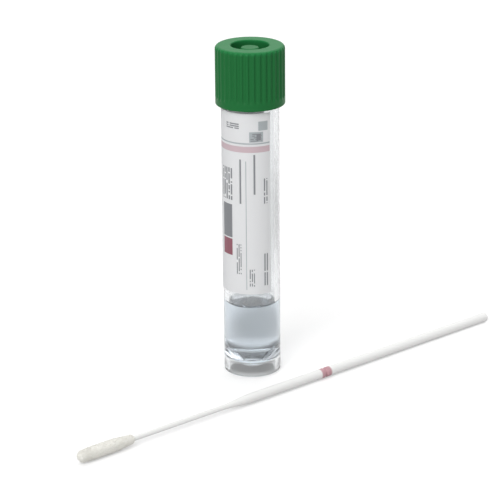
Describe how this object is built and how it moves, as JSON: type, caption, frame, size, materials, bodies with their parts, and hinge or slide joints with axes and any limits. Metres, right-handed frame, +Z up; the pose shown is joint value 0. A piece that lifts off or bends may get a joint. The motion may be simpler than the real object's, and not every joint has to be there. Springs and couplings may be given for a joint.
{
  "type": "specimen swab tube",
  "caption": "Clear self-standing screw-cap tube with a little liquid medium, and the flocked swab with a snap notch that goes into it.",
  "frame": {"origin": "centre of the foot ring that the tube stands on", "axes": "+Z up along the tube and out of its mouth; the user looks along +Y, with +X to the right; the swab lies on the XY plane in front of the tube"},
  "size_m": [0.1056, 0.0948, 0.086],
  "materials": {
    "clear_plastic": "clear moulded polypropylene, slightly hazy, glossy",
    "green_plastic": "opaque green polyethylene, satin, moulded grip ribs",
    "label_paper": "white coated label with thin printed bars, smooth",
    "clear_liquid": "clear water-thin liquid",
    "white_plastic": "white moulded plastic, satin, with a red mark at the notch",
    "nylon_flock": "short cream-white nylon fibres standing out of the core"
  },
  "bodies": {
    "tube_and_swab": {"tube": "clear_plastic", "label": "label_paper", "medium": "clear_liquid", "swab_shaft": "white_plastic", "swab_tip": "nylon_flock"},
    "cap": {"cap": "green_plastic"}
  },
  "joints": [
    {"name": "cap_lift", "type": "slide", "parent": "tube_and_swab", "child": "cap", "axis": [0, 0, 1], "range_m": [0, 0.025]}
  ]
}
